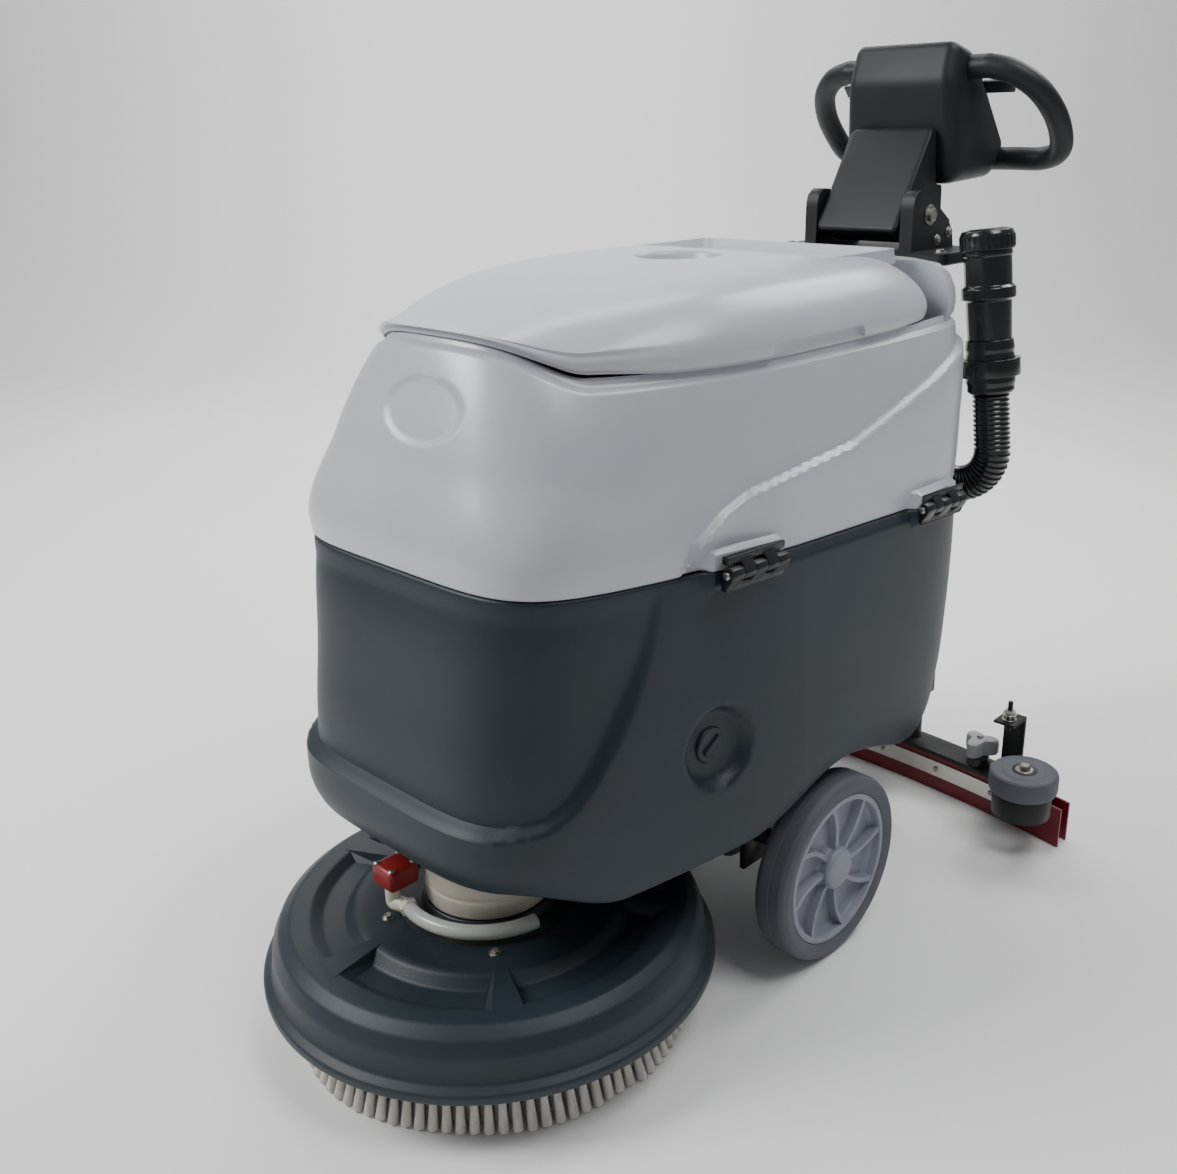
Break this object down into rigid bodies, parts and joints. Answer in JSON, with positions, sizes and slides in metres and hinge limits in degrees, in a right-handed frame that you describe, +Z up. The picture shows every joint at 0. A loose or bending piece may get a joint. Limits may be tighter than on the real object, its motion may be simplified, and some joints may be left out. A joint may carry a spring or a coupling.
{
  "type": "walk-behind floor scrubber",
  "caption": "Battery walk-behind wet and dry floor scrubber with round brush deck, tilting recovery tank, rear squeegee and tilting control handle.",
  "frame": {"origin": "on the floor, at the middle of the machine's box", "axes": "+Z up, -Y towards the front (brush) end, +X towards the machine's left side"},
  "size_m": [0.77, 1.2922, 1.142],
  "materials": {
    "slate_shell": "rotomoulded polyethylene, fine pebble grain",
    "grey_shell": "rotomoulded polyethylene, satin pearl grey",
    "black_plastic": "moulded, satin",
    "charcoal_plastic": "moulded, soft matt",
    "black_steel": "black powder coat",
    "steel": "stainless",
    "tyre_rubber": "grey solid rubber",
    "hub_plastic": "moulded nylon",
    "bristle": "polypropylene bristle",
    "ivory_plastic": "moulded",
    "clear_tube": "translucent tube",
    "red_rubber": "cast rubber",
    "red_plastic": "moulded",
    "knob_plastic": "moulded",
    "battery_case": "moulded",
    "motor_case": "grey enamel"
  },
  "bodies": {
    "chassis": {"chassis_frame": "black_steel", "solution_tank": "slate_shell", "side_plug": "slate_shell", "battery_front": "battery_case", "battery_rear": "battery_case", "drive_transaxle": "motor_case", "rear_post": "black_steel", "handle_bracket": "charcoal_plastic", "handle_pivot_bolt": "steel", "hinge_lower_front": "black_plastic", "hinge_lower_rear": "black_plastic"},
    "recovery": {"recovery_tank": "grey_shell", "vacuum_motor": "motor_case", "float_cage": "black_plastic", "hinge_upper_front": "black_plastic", "hinge_upper_rear": "black_plastic", "drain_spigot": "black_plastic", "drain_hose": "black_plastic", "drain_cuff": "black_plastic", "drain_neck": "black_plastic", "drain_clip": "black_plastic"},
    "lid": {"lid": "grey_shell"},
    "drain_cap": {"drain_cap": "black_plastic"},
    "wheel_left": {"wheel_tyre_left": "tyre_rubber", "wheel_hub_left": "hub_plastic"},
    "wheel_right": {"wheel_tyre_right": "tyre_rubber", "wheel_hub_right": "hub_plastic"},
    "deck_yoke": {"deck_yoke": "black_steel"},
    "deck": {"deck_cover": "slate_shell", "gear_case": "motor_case", "brush_motor": "ivory_plastic", "water_valve": "red_plastic", "water_elbow": "ivory_plastic", "water_tube": "clear_tube"},
    "brush": {"brush_driver": "black_plastic", "brush_block": "black_plastic", "brush_bristles": "bristle"},
    "handle": {"handle_arm": "charcoal_plastic", "control_head": "charcoal_plastic", "control_panel": "black_plastic", "grip_left": "charcoal_plastic", "grip_right": "charcoal_plastic"},
    "start_switch": {"start_switch": "knob_plastic"},
    "key_switch": {"key_switch": "knob_plastic"},
    "speed_dial": {"speed_dial": "knob_plastic"},
    "trigger_left": {"trigger_left": "black_plastic"},
    "trigger_right": {"trigger_right": "black_plastic"},
    "squeegee_arm": {"squeegee_arm": "black_steel"},
    "squeegee": {"squeegee_frame": "black_steel", "squeegee_blade_front": "red_rubber", "squeegee_blade_rear": "red_rubber", "squeegee_strap_front": "steel", "squeegee_strap_rear": "steel"},
    "knob_left": {"squeegee_knob_left": "knob_plastic"},
    "knob_right": {"squeegee_knob_right": "knob_plastic"},
    "roller_left": {"guard_roller_left": "tyre_rubber"},
    "roller_right": {"guard_roller_right": "tyre_rubber"},
    "deck_pedal": {"deck_pedal": "black_steel"},
    "squeegee_lever": {"squeegee_lever": "black_steel"}
  },
  "joints": [
    {"name": "tank_tilt", "type": "hinge", "parent": "chassis", "child": "recovery", "pos_m": [0.266, 0, 0.5775], "axis": [0, 0.9988, -0.0499], "range_deg": [0, 75]},
    {"name": "lid_open", "type": "hinge", "parent": "recovery", "child": "lid", "pos_m": [-0.246, -0.09, 0.803], "axis": [0, -1, 0], "range_deg": [0, 85]},
    {"name": "drain_cap_turn", "type": "hinge", "parent": "recovery", "child": "drain_cap", "pos_m": [0.219, 0.402, 0.6757], "axis": [-0.1149, 0, 0.9934], "continuous": true},
    {"name": "wheel_left_spin", "type": "hinge", "parent": "chassis", "child": "wheel_left", "pos_m": [0.256, -0.014, 0.126], "axis": [1, 0, 0], "continuous": true},
    {"name": "wheel_right_spin", "type": "hinge", "parent": "chassis", "child": "wheel_right", "pos_m": [-0.256, -0.014, 0.126], "axis": [1, 0, 0], "continuous": true},
    {"name": "deck_lift", "type": "hinge", "parent": "chassis", "child": "deck_yoke", "pos_m": [0, -0.14, 0.205], "axis": [-1, 0, 0], "range_deg": [0, 5]},
    {"name": "deck_level", "type": "hinge", "parent": "deck_yoke", "child": "deck", "pos_m": [0, -0.37, 0.205], "axis": [1, 0, 0], "range_deg": [0, 5]},
    {"name": "brush_spin", "type": "hinge", "parent": "deck", "child": "brush", "pos_m": [0, -0.37, 0.05], "axis": [0, 0, 1], "continuous": true},
    {"name": "handle_tilt", "type": "hinge", "parent": "chassis", "child": "handle", "pos_m": [0, 0.426, 0.91], "axis": [1, 0, 0], "range_deg": [-15, 25]},
    {"name": "start_switch_press", "type": "slide", "parent": "handle", "child": "start_switch", "axis": [0, -0.7934, -0.6088], "range_m": [0, 0.002], "stiffness_N_per_m": 300, "springref_m": -0.001},
    {"name": "key_turn", "type": "hinge", "parent": "handle", "child": "key_switch", "pos_m": [0.04, 0.59018, 1.04513], "axis": [0, -0.7934, -0.6088], "range_deg": [0, 90]},
    {"name": "speed_dial_turn", "type": "hinge", "parent": "handle", "child": "speed_dial", "pos_m": [0, 0.55974, 1.0848], "axis": [0, -0.7934, -0.6088], "range_deg": [0, 270]},
    {"name": "trigger_left_pull", "type": "hinge", "parent": "handle", "child": "trigger_left", "pos_m": [0.118, 0.5413, 1.0874], "axis": [1, 0, 0], "range_deg": [0, 12], "stiffness_Nm_per_rad": 0.5, "springref_deg": -5.73},
    {"name": "trigger_right_pull", "type": "hinge", "parent": "handle", "child": "trigger_right", "pos_m": [-0.118, 0.5413, 1.0874], "axis": [1, 0, 0], "range_deg": [0, 12], "stiffness_Nm_per_rad": 0.5, "springref_deg": -5.73},
    {"name": "squeegee_lift", "type": "hinge", "parent": "chassis", "child": "squeegee_arm", "pos_m": [0, 0.3, 0.1425], "axis": [1, 0, 0], "range_deg": [0, 12]},
    {"name": "squeegee_swivel", "type": "hinge", "parent": "squeegee_arm", "child": "squeegee", "pos_m": [0, 0.47, 0.1], "axis": [0, 0, 1], "range_deg": [-20, 20]},
    {"name": "knob_left_turn", "type": "hinge", "parent": "squeegee", "child": "knob_left", "pos_m": [0.225, 0.45246, 0.08], "axis": [0, 0, 1], "continuous": true},
    {"name": "knob_right_turn", "type": "hinge", "parent": "squeegee", "child": "knob_right", "pos_m": [-0.225, 0.45246, 0.08], "axis": [0, 0, 1], "continuous": true},
    {"name": "roller_left_spin", "type": "hinge", "parent": "squeegee", "child": "roller_left", "pos_m": [0.335, 0.38, 0.11], "axis": [0, 0, 1], "continuous": true},
    {"name": "roller_right_spin", "type": "hinge", "parent": "squeegee", "child": "roller_right", "pos_m": [-0.335, 0.38, 0.11], "axis": [0, 0, 1], "continuous": true},
    {"name": "pedal_press", "type": "hinge", "parent": "chassis", "child": "deck_pedal", "pos_m": [-0.19, 0.325, 0.221], "axis": [-1, 0, 0], "range_deg": [0, 10]},
    {"name": "lever_pull", "type": "hinge", "parent": "chassis", "child": "squeegee_lever", "pos_m": [-0.104, 0.4143, 0.245], "axis": [-1, 0, 0], "range_deg": [0, 36]}
  ],
  "couplings": [
    {"joint": "deck_level", "follows": "deck_lift", "ratio": 1},
    {"joint": "pedal_press", "follows": "deck_lift", "ratio": 2},
    {"joint": "lever_pull", "follows": "squeegee_lift", "ratio": 3}
  ]
}
